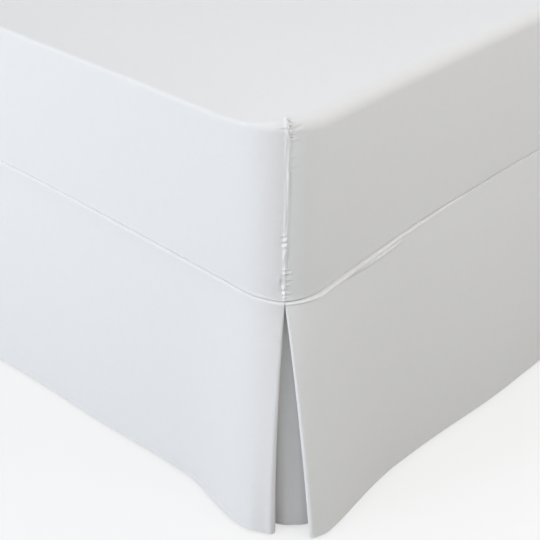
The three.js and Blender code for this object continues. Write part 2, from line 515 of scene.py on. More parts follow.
@dataclass(frozen=True)
class CottonPercale(Finish):
    """Bleached cotton percale: plain woven, mercerised, pressed.

    A close, flat, matt white with a faint cool cast. Thick places in the yarns run along both
    thread ways, and the yarns' lint gives a low sheen where the cloth turns away.
    """

    name: str = "bleached_cotton_percale"
    light: str = "#f4f4f4"
    dark: str = "#f1f1f0"
    roughness: float = 0.85
    relief: float = 0.035 * MM
    strength: float = 0.25
    specular: float = 0.3
    sheen: float = 0.18
    sheen_roughness: float = 0.45
    thread_pitch: float = 1.6 * MM
    """The real threads lie 0.25 mm apart, too fine to show, so they are drawn this coarse."""
    slub_length: float = 22 * MM
    slub_width: float = 1.4 * MM

    def make(self) -> bpy.types.Material:
        """Builds the material.

        Returns:
            The material, which reads the piece's own UV map of the flat cloth in metres.
        """
        material, tree = self.start()
        cloth = add_node(tree, "ShaderNodeUVMap", {"uv_map": "flat_cloth"}).outputs["UV"]
        along, across = 1 / self.slub_length, 1 / self.slub_width
        slubs, threads = [], []
        for scale, direction in (((along, across, 1), "X"), ((across, along, 1), "Y")):
            stretched = add_node(tree, "ShaderNodeMapping", {"Scale": scale}, {"Vector": cloth})
            slub = add_node(
                tree,
                "ShaderNodeTexNoise",
                {"Scale": 1.0, "Detail": 2.0, "Roughness": 0.6},
                {"Vector": stretched.outputs["Vector"]},
            )
            slubs.append(slub.outputs["Fac"])
            bands = {"wave_type": "BANDS", "bands_direction": direction}
            bands["Scale"] = math.pi / (10 * self.thread_pitch)
            thread = add_node(tree, "ShaderNodeTexWave", bands, {"Vector": cloth})
            threads.append(thread.outputs["Fac"])
        times = {"operation": "MULTIPLY"}
        yarns = add_node(tree, "ShaderNodeMath", times, dict(enumerate(slubs))).outputs[0]
        weave = add_node(tree, "ShaderNodeMath", times, dict(enumerate(threads))).outputs[0]
        height = add_node(tree, "ShaderNodeMath", {"operation": "ADD"}, {0: yarns, 1: weave})
        reach = {"From Min": 0.15, "From Max": 0.4}
        thick = add_node(tree, "ShaderNodeMapRange", reach, {"Value": yarns})
        gloss = {
            "Sheen Weight": self.sheen,
            "Sheen Roughness": self.sheen_roughness,
            "Specular IOR Level": self.specular,
        }
        self.surface(tree, thick.outputs["Result"], height.outputs[0], gloss)
        return material


@dataclass(frozen=True)
class StripedTicking(Finish):
    """Cotton ticking: close twill with a woven stripe, unbleached."""

    name: str = "striped_cotton_ticking"
    light: str = "#dcd8cf"
    dark: str = "#b9b6ae"
    roughness: float = 0.95
    relief: float = 0.3 * MM
    strength: float = 0.4
    stripe_pitch: float = 24 * MM
    twill_width: float = 1.5 * MM

    def make(self) -> bpy.types.Material:
        """Builds the material.

        Returns:
            The material, whose stripe runs along the bed.
        """
        material, tree = self.start()
        place = add_node(tree, "ShaderNodeTexCoord").outputs["Object"]
        wave = {"wave_type": "BANDS", "bands_direction": "X"}
        wave["Scale"] = math.pi / (10 * self.stripe_pitch)
        bands = add_node(tree, "ShaderNodeTexWave", wave, {"Vector": place})
        crest = {"From Min": 0.86, "From Max": 0.94}
        stripe = add_node(tree, "ShaderNodeMapRange", crest, {"Value": bands.outputs["Fac"]})
        grain = {"Scale": 1 / self.twill_width, "Detail": 1.0}
        twill = add_node(tree, "ShaderNodeTexNoise", grain, {"Vector": place})
        self.surface(tree, stripe.outputs["Result"], twill.outputs["Fac"])
        return material


@dataclass(frozen=True)
class WovenUpholstery(Finish):
    """Grey polyester basket weave, as bed bases are covered in: flecked and matt."""

    name: str = "woven_grey_upholstery"
    light: str = "#96938e"
    dark: str = "#7b7874"
    roughness: float = 0.95
    relief: float = 0.5 * MM
    strength: float = 0.5
    yarn_pitch: float = 2.5 * MM
    fleck_width: float = 6 * MM

    def make(self) -> bpy.types.Material:
        """Builds the material.

        Returns:
            The material.
        """
        material, tree = self.start()
        place = add_node(tree, "ShaderNodeTexCoord").outputs["Object"]
        basket = {"Scale": 1 / self.yarn_pitch, "distance": "CHEBYCHEV"}
        yarns = add_node(tree, "ShaderNodeTexVoronoi", basket, {"Vector": place})
        flecks = {"Scale": 1 / self.fleck_width, "Detail": 3.0}
        fleck = add_node(tree, "ShaderNodeTexNoise", flecks, {"Vector": place})
        self.surface(tree, fleck.outputs["Fac"], yarns.outputs["Distance"])
        return material


@dataclass(frozen=True)
class StudioPaper(Finish):
    """Pale grey seamless paper, flat and matt, seen nearly white.

    It is lit from behind for the camera alone, so that it doesn't light the cloth from below.
    """

    name: str = "pale_seamless_paper"
    light: str = "#a6a6a6"
    dark: str = "#a4a4a4"
    roughness: float = 0.95
    glow: float = 0.6

    def make(self) -> bpy.types.Material:
        """Builds the material.

        Returns:
            The material.
        """
        material, tree = self.start()
        place = add_node(tree, "ShaderNodeTexCoord").outputs["Object"]
        cloudy = add_node(tree, "ShaderNodeTexNoise", {"Scale": 0.8}, {"Vector": place})
        seen = add_node(tree, "ShaderNodeLightPath").outputs["Is Camera Ray"]
        lit = {"operation": "MULTIPLY", 1: self.glow}
        glow = add_node(tree, "ShaderNodeMath", lit, {0: seen}).outputs[0]
        white = {"Emission Color": (1.0, 1.0, 1.0, 1.0)}
        self.surface(
            tree, cloudy.outputs["Fac"], settings=white, links={"Emission Strength": glow}
        )
        return material


# ---- Cloth -------------------------------------------------------------------------------------


@dataclass
class ClothSheet:
    """A sheet of cloth, made from a grid primitive whose vertices are moved to its shape."""

    bed: Bed
    thickness: float = 1.2
    offset: float = 0
    """Where the shape lies in the cloth: -1 at its outer face, 0 at its middle."""
    merge: float = 0.01
    """Points closer than this are one."""
    sharp_angle: float = 60
    """Edges that turn more than this, in degrees, stay sharp."""

    @property
    def name(self) -> str:
        """The piece's name."""
        raise NotImplementedError

    @property
    def flat_size(self) -> tuple[float, float]:
        """Size that the flat cloth was cut to."""
        raise NotImplementedError

    def lay_out(self) -> tuple[np.ndarray, np.ndarray, np.ndarray]:
        """The hanging shape, and the same cloth laid flat.

        Returns:
            The points, with rows up the first axis, columns round the bed on the second and x, y, z
            on the last. Then, for each row and face column, the flat places of the columns on the
            face's left and on its right.
        """
        raise NotImplementedError

    @staticmethod
    def straight_cut(way: np.ndarray, points: np.ndarray) -> tuple[np.ndarray, ...]:
        """Lays out a panel that was cut straight.

        Args:
            way: Distance of each column along the cloth.
            points: The panel's points, whose heights are the places up the cloth.

        Returns:
            What `lay_out` returns.
        """
        flat = np.stack(np.broadcast_arrays(way, points[..., 2]), axis=-1)
        return points, flat[:, :-1], flat[:, 1:]

    def build(self, material: bpy.types.Material) -> bpy.types.Object:
        """Makes the mesh, merges its seams, gives it thickness and smooths it.

        Args:
            material: The cloth's finish.

        Returns:
            The finished piece, whose UV map `flat_cloth` holds the flat cloth in metres.
        """
        points, left, right = self.lay_out()
        rows, columns = points.shape[:2]
        bpy.ops.object.select_all(action="DESELECT")
        bpy.ops.mesh.primitive_grid_add(x_subdivisions=columns - 1, y_subdivisions=rows - 1, size=2)
        piece = bpy.context.object
        piece.name = piece.data.name = self.name
        mesh = piece.data
        start = (vertex_places(mesh)[:, :2] + 1) / 2
        column = np.rint(start[:, 0] * (columns - 1)).astype(int)
        row = np.rint(start[:, 1] * (rows - 1)).astype(int)
        mesh.vertices.foreach_set("co", (points[row, column] * MM).ravel())

        ends = np.empty(len(mesh.loops), int)
        mesh.loops.foreach_get("vertex_index", ends)
        corner_row, corner_column = (places[ends].reshape(-1, 4) for places in (row, column))
        face_column = corner_column.min(axis=1, keepdims=True)
        on_left = (corner_column == face_column)[..., None]
        face_column = np.broadcast_to(face_column, corner_row.shape)
        flat = np.where(on_left, left[corner_row, face_column], right[corner_row, face_column])
        layer = mesh.uv_layers.active
        layer.name = "flat_cloth"
        layer.data.foreach_set("uv", (flat * MM).ravel())
        mesh.materials.append(material)

        merge_points(self.merge)
        bpy.ops.object.modifier_add(type="SOLIDIFY")
        piece.modifiers[-1].thickness = self.thickness * MM
        piece.modifiers[-1].offset = self.offset
        bpy.ops.object.modifier_apply(modifier=piece.modifiers[-1].name)
        bpy.ops.object.shade_smooth_by_angle(angle=math.radians(self.sharp_angle))
        return piece


@dataclass(frozen=True)
class Pucker:
    """A short ridge, or a trough where `rise` is negative, that the stitches draw up."""

    height: float
    """Its middle, along the cloth up the corner from the floor."""
    across: float
    """Its middle, from the seam's line towards the long side."""
    rise: float
    tall: float
    wide: float
    slant: float = 0
    """How much it climbs for each millimetre towards the long side."""

    def relief(self, up: np.ndarray, across: np.ndarray) -> np.ndarray:
        """How far it lifts the cloth.

        Args:
            up: Distance up the corner along the cloth.
            across: Distance from the seam's line towards the long side.

        Returns:
            The lift there.
        """
        sideways = across - self.across
        upwards = up - self.height - self.slant * sideways
        return self.rise * bump(upwards, 0, self.tall) * bump(sideways, 0, self.wide)


@dataclass(frozen=True)
class Crease(Pucker):
    """A short crease: the cloth above it rolls out over the cloth below by `rise`."""

    peak: float = 1 / 2.33
    """Height of the curve x exp(-x²) at its top, which makes `rise` the lift that is reached."""

    def relief(self, up: np.ndarray, across: np.ndarray) -> np.ndarray:
        """How far it lifts the cloth at places up and across."""
        upwards = (up - self.height - self.slant * (across - self.across)) / self.tall
        return super().relief(up, across) * upwards / self.peak


@dataclass
class FittedCover(ClothSheet):
    """The cloth over the mattress, seamed down each corner, in millimetres."""

    thickness: float = 1
    offset: float = -1
    seam_line: Knots = (
        *((384, 2.8), (430, 2.9), (455, 3.2), (472, 4.3), (500, 5.3), (540, 6.2), (600, 6.5)),
        *((624, 7.2), (632, 8.4), (640, 6.8), (660, 4.8), (672, 3.4)),
    )
    """How far the seam's edge runs from the middle of the corner towards the long side."""
    bow_reach: float = 45
    """How far across the cloth bows with it."""
    allowance: Knots = (
        *((384, 2.2), (450, 2.4), (470, 3.4), (500, 3.8)),
        *((600, 4.0), (632, 5.6), (645, 3.6), (672, 3.0)),
    )
    """Width of the seam allowance that shows as a low ribbon on the end's side of that line."""
    ribbon_rise: float = 0.7
    soft_edge: Span = (-3.5, 1.5)
    """Distances past the ribbon's edge over which it rises, and the same where it is crisp."""
    crisp_edge: Span = (-0.8, 0.8)
    turns_crisp: Span = (606, 620)
    """Where, up the corner, that edge turns crisp, and where it turns soft again."""
    turns_soft: Span = (646, 654)
    ribbon_falls: Span = (-0.4, 1.5)
    """Distances past the seam's line over which the ribbon falls again."""
    outer_rail: Knots = (
        *((500, 0.1), (520, 0.8), (536, 0.7), (546, 0.15), (578, 0.05), (587, -0.5)),
        *((602, -0.5), (612, 0.0), (622, 0.25), (642, 0.25), (650, 0)),
    )
    """Height of the allowance's own edge, up the corner: below nought it lies in a groove."""
    stitched_rail: Knots = (
        *((384, 0.4), (455, 0.4), (505, 0.7), (518, 0.5), (530, 0.5), (545, 0.8)),
        *((612, 0.9), (624, 0.5), (638, 0.5), (644, 1.2), (654, 1.0), (662, 0.4)),
    )
    """Height of the stitched edge."""
    outer_place: float = 0.2
    """How far the first edge lies past the ribbon's own, and the second past the seam's line."""
    stitched_place: float = -0.6
    rail_spread: float = 1.0
    rail_waves: Waves = ((0.2, 9.0, 1), (0.15, 3.7, 2))
    """How unevenly the two stand up, with phases that are multiplied by the corner's number."""
    ditch_depth: float = 0.25
    """Depth, middle and spread of the hollow beside the stitches, on the long side."""
    ditch_place: float = 2.0
    ditch_spread: float = 0.9
    nub_height: float = 664
    """Where the allowance's end stands up as a nub, along the cloth up the corner."""
    nub_rise: float = 4.6
    nub_starts: Span = (-12, -5)
    """Distances up from there over which it stands up and goes down again."""
    nub_ends: Span = (6, 12)
    nub_width: float = 1.8
    nub_lean: float = 0.22
    """How much it leans towards the long side for each millimetre that it climbs."""
    nub_hollow: float = 3.6
    """Depth of the hollow behind it."""
    hollow_across: tuple[float, float] = (4.2, 1.2)
    """The hollow's middle and its spread, across and then up from the nub."""
    hollow_up: tuple[float, float] = (5.5, 2.4)
    seed: int = 11
    unlike: tuple[tuple[float, float], tuple[float, float]] = ((0, 0.9), (2.5, 0.25))
    """Means and spreads of the puckers' shift and strength, at the corners past the first."""
    tuck: float = 5.0
    """How far the lower edge turns in at the join seam."""
    edge_height: float = 4.5
    """Height over which it does."""
    edge_stops: float = 0.98
    """Share of its curve at which it ends, short of lying level."""
    puff_place: float = 2.6
    """Height over the join seam at which the edge puffs out most, and the spread of that."""
    puff_spread: float = 1.9
    puff_waves: Waves = ((0.12, 17.0, 0), (0.1, 6.3, 1))
    wall_waves_grow: Span = (395, 440)
    """Heights over which the slow waves of the walls set in."""
    top_waves_grow: Span = (20, 160)
    """Distances in from the top's edge over which its own set in."""
    edge_rows: int = 22
    """Rows round the edge of the top."""
    edge_saves: float = 16.5
    """How much less cloth goes over the rounded edge of the top than over a square one."""
    fine_columns: tuple[tuple[float, float, float], ...] = ((-9, -3, 0.75), (-3, 3.01, 0.5))
    """Start, end and step of the columns at a corner's seam line."""
    long_columns: tuple[float, ...] = (3.7, 4.5, 5.4, 6.4, 7.6, 9)
    """Distances of the next ones on the long side."""
    wide_columns: tuple[float, ...] = (
        *(10.6, 12.4, 14.5, 17, 20, 23.5, 27.5, 32, 37, 43, 50),
        *(58, 68, 82, 103, 135, 180, 240, 320, 420, 530),
    )
    """Distances of those after them, on both sides."""
    last_column: float = 710
    """Distance of one more on the long side."""
    first_rows: tuple[float, ...] = (0, 0.3, 0.6, 0.9, 1.2, 1.6, 2.1, 2.7, 3.4, 4.2, 5.2, 6.8, 8.4)
    """Distances up from the join seam at a corner."""
    row_runs: tuple[tuple[float, float, float], ...] = (
        *((1.5, 1.5, 114), (4, 7, 206), (2, 2, 252), (1.1, 1.1, 264)),
    )
    """The rows above those: each run's first step, its other steps, and where it ends."""
    top_insets: tuple[float, ...] = (1.5, 3.5, 6.5, 10.5, 16, 23, 32, 42)
    """Distances in from the edge of the top."""
    first_top_inset: float = 50
    top_rings: tuple[float, ...] = (1, 0.98, 0.95, 0.9, 0.83, 0.72, 0.57, 0.38, 0.15, 0)
    """Sizes of the rings that go on from there to the middle, as shares of the first."""
    on_seam: float = 1e-6
    """Columns closer than this to the middle of a corner lie on it."""
    puckers: tuple[Pucker, ...] = (
        # The lumps that the stitches leave on the ribbon, and the notches between them.
        Pucker(494.5, -3.2, 1.8, 2.2, 2.4, 0.2),
        Pucker(490.3, -4.8, -1.6, 1.5, 3.2, 0.2),
        Pucker(486, -2.2, 2.3, 2.0, 2.6, 0.4),
        Pucker(480.8, -4.6, -1.7, 1.5, 3.4, 0.2),
        Pucker(477, -2.4, 2.3, 2.0, 2.4, 0.3),
        Pucker(465, -2.0, 2.0, 5.5, 2.0),
        Pucker(457, -2.6, 1.2, 4.0, 1.8),
        Pucker(439.8, -1.7, 3.0, 1.6, 1.7),
        Pucker(436.4, -1.2, -1.0, 1.3, 2.4),
        Pucker(433, -1.7, 3.0, 1.6, 2.0),
        Pucker(408.5, -2.0, 2.4, 2.6, 1.9),
        Pucker(403.5, -1.8, -1.8, 1.5, 5.0),
        Pucker(399, -1.6, 2.8, 1.8, 1.9),
        Pucker(395.6, -1.2, -1.2, 1.3, 2.6),
        Pucker(392.5, -1.8, 2.0, 1.5, 2.4),
        # A dimple on the end's side and its rim.
        Pucker(415.5, -5.8, -1.6, 6.0, 1.6, 0.3),
        Pucker(421.5, -8.8, 1.0, 6.0, 1.8, 0.9),
        # Short creases on the long side.
        Crease(437, 2.2, 1.0, 1.7, 1.8, 0.3),
        Crease(430.5, 4.8, 1.5, 1.8, 3.6, 0.1),
        Crease(420, 4.4, 1.1, 1.8, 3.8),
        Crease(411, 3.8, 0.9, 1.7, 3.4),
        Crease(397, 4.6, 1.1, 1.7, 3.8),
        # The gathers that fan out from the top of the seam.
        Pucker(665, 4.5, -5.0, 1.6, 1.4),
        Crease(662, 7.0, 1.7, 1.7, 4.4, 0.1),
        Crease(658.2, 3.4, 2.6, 1.5, 2.4, 0.1),
        Crease(654.2, 3.1, 2.5, 1.5, 2.1, 0.1),
        Crease(650.3, 3.0, 3.2, 1.5, 2.0, 0.05),
        Crease(646.4, 3.9, 2.0, 1.5, 3.3, 0.05),
        Crease(642.5, 3.1, 1.5, 1.5, 2.1, 0.05),
        Crease(637, 8.0, 0.6, 2.0, 6.0, 0.2),
        Crease(657.3, 15.0, 1.1, 2.4, 7.0, 0.36),
        Pucker(622, 4.4, -0.7, 7.0, 2.4),
        Crease(611.5, 7.5, 0.45, 2.2, 5.5, 0.02),
        Crease(597, 6.5, 0.6, 2.6, 5.0, -0.1),
        Crease(661.5, -5.8, 0.8, 1.6, 2.8),
        Crease(655.4, -6.0, 1.0, 1.7, 4.4),
        Pucker(652.5, -5.0, -0.8, 1.5, 1.8),
    )

    def column_places(self) -> np.ndarray:
        """Spaces the columns between the middles of a corner's two sides.

        Returns:
            Distances from the corner's seam line: negative on the end, positive on the long side.
        """
        end_half, long_half = (self.bed.cloth_length(side) / 2 for side in self.bed.sides[:2])
        end_side = [-place for place in (end_half, *reversed(self.wide_columns))]
        fine = [place for run in self.fine_columns for place in np.arange(*run)]
        long_side = [*self.long_columns, *self.wide_columns, self.last_column, long_half]
        return np.array([*end_side, *fine, *long_side])

    def row_heights(self) -> np.ndarray:
        """Spaces the rows of the walls.

        Returns:
            Distances up a corner, from the join seam to where the top's edge starts to round.
        """
        heights = list(self.first_rows)
        for first, step, end in self.row_runs:
            heights.extend(np.arange(heights[-1] + first, end, step))
        return np.array(heights)

    def corner(self, index: int) -> tuple[np.ndarray, np.ndarray, np.ndarray]:
        """The cloth from the middle of one side round a corner to the middle of the next.

        Args:
            index: Which corner, the first being where the foot ends.

        Returns:
            Its points, and the flat places of the columns to each face's left and right.
        """
        bed, sides = self.bed, self.bed.sides
        before, after = sides[index], sides[(index + 1) % 4]
        hand = 1 if before.shape is END else -1
        across = self.column_places()[::hand][None, :]
        rise = self.row_heights()[:, None] / self.row_heights()[-1]
        turns = np.radians(np.linspace(0, 90, self.edge_rows + 1)[1:])[:, None]
        side_rows, ring_start = len(rise), len(rise) + self.edge_rows
        top_rows = len(self.top_insets) + len(self.top_rings)
        tilt = np.concatenate([np.zeros((side_rows, 1)), turns, np.full((top_rows, 1), math.pi / 2)])

        # The seam's line bows, and the columns near it bow with it. The bow is worked out at heights
        # up the corner itself, which are the same all round.
        edge_radius = (END.edge_radius + LONG.edge_radius) / 2
        corner_top = bed.crown - LONG.edge_drop - edge_radius
        insets = np.array([*self.top_insets, *[self.first_top_inset] * len(self.top_rings)])
        up = np.concatenate(
            [
                bed.corner_seam + rise * (corner_top - bed.corner_seam),
                corner_top + edge_radius * turns,
                corner_top + edge_radius * math.pi / 2 + insets[:, None],
            ]
        )
        fade = np.sqrt(np.cos(tilt))
        fade[ring_start:] = 0
        bowed = across + through(up, self.seam_line) * bump(across, 0, self.bow_reach) * fade
        q = hand * bowed
        points, out = bed.round_corner(before, after, q)
        near = np.abs(q)
        towards_long = 0.5 + 0.5 * np.sign(bowed) * smoothstep(near, 0, bed.half_arc)
        radius = lerp(END.edge_radius, LONG.edge_radius, towards_long)
        edge = points - out * radius[..., None]
        centre = bed.top_height(edge[..., 0], edge[..., 1]) - radius
        near_before, near_after = (bed.seam_height(side, near) for side in (before, after))
        lap = lerp(END.cover_laps, LONG.cover_laps, towards_long) * smoothstep(near, *bed.lap_grows)
        seam = np.where(q < 0, near_before, near_after) + bed.join_gap / 2 - lap

        shape = np.broadcast_shapes(up.shape, q.shape)
        spot = np.zeros((*shape, 3))
        spot[..., :2] = edge + out * (radius * np.cos(tilt))[..., None]
        spot[..., 2] = centre + radius * np.sin(tilt)
        walls = slice(0, side_rows)
        spot[walls, :, 2] = lerp(seam[walls], centre[walls], rise)

        rings = [1] * len(self.top_insets) + list(self.top_rings)
        for row, (inset, ring) in enumerate(zip(insets, rings), ring_start):
            deep = radius[row] + inset * (1 - radius[row] / self.first_top_inset)
            plan = (points[row] - out[row] * deep[:, None]) * ring
            spot[row, :, :2] = plan
            spot[row, :, 2] = bed.top_height(plan[:, 0], plan[:, 1])

        normal = np.zeros_like(spot)
        normal[..., :2] = out * np.cos(tilt)[..., None]
        normal[..., 2] = np.sin(tilt)
        lift = self.relief(up, across, fade, index) + self.soft_waves(spot, tilt)
        lift[walls] += self.join_roll(spot[walls, :, 2] - seam[walls], bowed[walls])
        shaped = spot + normal * lift[..., None]
        left, right = self.flat_places(shaped, q, before, after, ring_start)
        return shaped, left, right

    def relief(
        self, up: np.ndarray, across: np.ndarray, fade: np.ndarray, index: int
    ) -> np.ndarray:
        """Relief of a corner's seam: its ribbon, its stitched edge, the nub on top and the puckers.

        Args:
            up: Distance up the corner along the cloth.
            across: Distance from the seam's line towards the long side.
            fade: What is left of the seam over the edge of the top.
            index: Which corner, so that no two are alike.

        Returns:
            How far the cloth stands out.
        """
        width = through(up, self.allowance)
        chance = np.random.default_rng(self.seed + index)
        crisp = smoothstep(up, *self.turns_crisp) * (1 - smoothstep(up, *self.turns_soft))
        rises = (lerp(soft, hard, crisp) for soft, hard in zip(self.soft_edge, self.crisp_edge))
        ribbon = smoothstep(across + width, *rises) * (1 - smoothstep(across, *self.ribbon_falls))
        stitched = bump(across, self.stitched_place, self.rail_spread)
        outer = bump(across + width, self.outer_place, self.rail_spread)
        rails = through(up, self.stitched_rail) * stitched + through(up, self.outer_rail) * outer
        waves = tuple((height, length, phase * index) for height, length, phase in self.rail_waves)
        lift = (self.ribbon_rise * ribbon + rails * ripple(up, waves, 1)) * fade
        lift -= self.ditch_depth * bump(across, self.ditch_place, self.ditch_spread) * fade
        from_nub = up - self.nub_height
        length = smoothstep(from_nub, *self.nub_starts) * (1 - smoothstep(from_nub, *self.nub_ends))
        nub = bump(across - self.nub_lean * from_nub, 0, self.nub_width) * length
        hollow = bump(across, *self.hollow_across) * bump(from_nub, *self.hollow_up)
        lift += self.nub_rise * nub - self.nub_hollow * hollow
        for pucker in self.puckers:
            shift, strength = (0.0, 1.0) if index == 0 else chance.normal(*self.unlike)
            lift = lift + strength * pucker.relief(up + shift, across)
        return lift

    def join_roll(self, above: np.ndarray, across: np.ndarray) -> np.ndarray:
        """The cover's lower edge: it puffs out over the join seam and turns in at it.

        Args:
            above: Distance up from the seam.
            across: Distance from the corner towards the long side.

        Returns:
            How far the cloth stands out.
        """
        near = np.abs(across)
        puff = np.where(across < 0, through(near, END.cover_roll), through(near, LONG.cover_roll))
        puff = puff * ripple(across, self.puff_waves, 1)
        down = np.clip(1 - above / self.edge_height, 0, self.edge_stops)
        turned_in = self.tuck * (1 - np.sqrt(1 - down * down))
        return puff * bump(above, self.puff_place, self.puff_spread) - turned_in

    def soft_waves(self, spot: np.ndarray, tilt: np.ndarray) -> np.ndarray:
        """Very shallow waves over the stretched cloth, away from its edges.

        Each is a height times the sine of the place over the wave's length, which is given over 2 pi.

        Args:
            spot: The cloth's points.
            tilt: How far the cloth faces up from level, in radians.

        Returns:
            How far the cloth stands out.
        """
        x, y, z = spot[..., 0], spot[..., 1], spot[..., 2]
        inside = np.minimum(self.bed.width / 2 - np.abs(x), self.bed.length / 2 - np.abs(y))
        wall = np.cos(tilt) ** 2 * smoothstep(z, *self.wall_waves_grow)
        top = np.sin(tilt) ** 2 * smoothstep(inside, *self.top_waves_grow)
        sides = 0.5 * np.sin((x - y) / 61 + z / 240) + 0.4 * np.sin((x + y) / 97 - z / 150 + 1)
        crown = 0.7 * np.sin(x / 118 + y / 203) + 0.6 * np.sin(x / 171 - y / 143 + 2)
        return sides * wall + crown * top

    def flat_places(
        self, shaped: np.ndarray, q: np.ndarray, before: Side, after: Side, ring_start: int
    ) -> tuple[np.ndarray, np.ndarray]:
        """Where the cloth round a corner lies when it is flat.

        Args:
            shaped: The cloth's points.
            q: Distance past the middle of the corner.
            before: The side that ends at the corner.
            after: The side that starts there.
            ring_start: The first row that lies on the top.

        Returns:
            The flat places of the columns to each face's left and to its right.
        """
        bed = self.bed
        steps = np.linalg.norm(np.diff(shaped[ring_start::-1], axis=0), axis=-1)
        drop = np.cumsum(steps, axis=0)[::-1]
        walls = slice(0, ring_start)
        ways = bed.cloth_length(before) / 2 + q, q - bed.cloth_length(after) / 2
        places = []
        for side, way in zip((before, after), ways):
            wall_out = (bed.length if side.out[0] == 0 else bed.width) / 2
            flat = shaped[..., :2].copy()
            flat[walls] = (
                np.array(side.along) * way[walls][..., None]
                + np.array(side.out) * (wall_out + drop)[..., None]
            )
            places.append(flat)
        starts_before = (q[:, :-1] < -self.on_seam)[..., None]
        left = np.where(starts_before, places[0][:, :-1], places[1][:, :-1])
        right = np.where(starts_before, places[0][:, 1:], places[1][:, 1:])
        return left, right

    def lay_out(self) -> tuple[np.ndarray, np.ndarray, np.ndarray]:
        """The cover's four corners in turn, closed by its first column.

        Returns:
            The points, and the flat places to each face's left and to its right.
        """
        points, left, right = zip(*(self.corner(index) for index in range(4)))
        closed = [*(block[:, :-1] for block in points), points[0][:, :1]]
        return tuple(np.concatenate(blocks, axis=1) for blocks in (closed, left, right))

    @property
    def name(self) -> str:
        """The piece's name."""
        return "cover_percale"

    @property
    def flat_drop(self) -> float:
        """The flat cloth's length past the top: the sides of the squares cut out of its corners."""
        return self.bed.crown - self.bed.corner_seam - self.edge_saves

    @property
    def flat_size(self) -> tuple[float, float]:
        """Size of the flat cloth before those squares are cut out."""
        return self.bed.width + 2 * self.flat_drop, self.bed.length + 2 * self.flat_drop


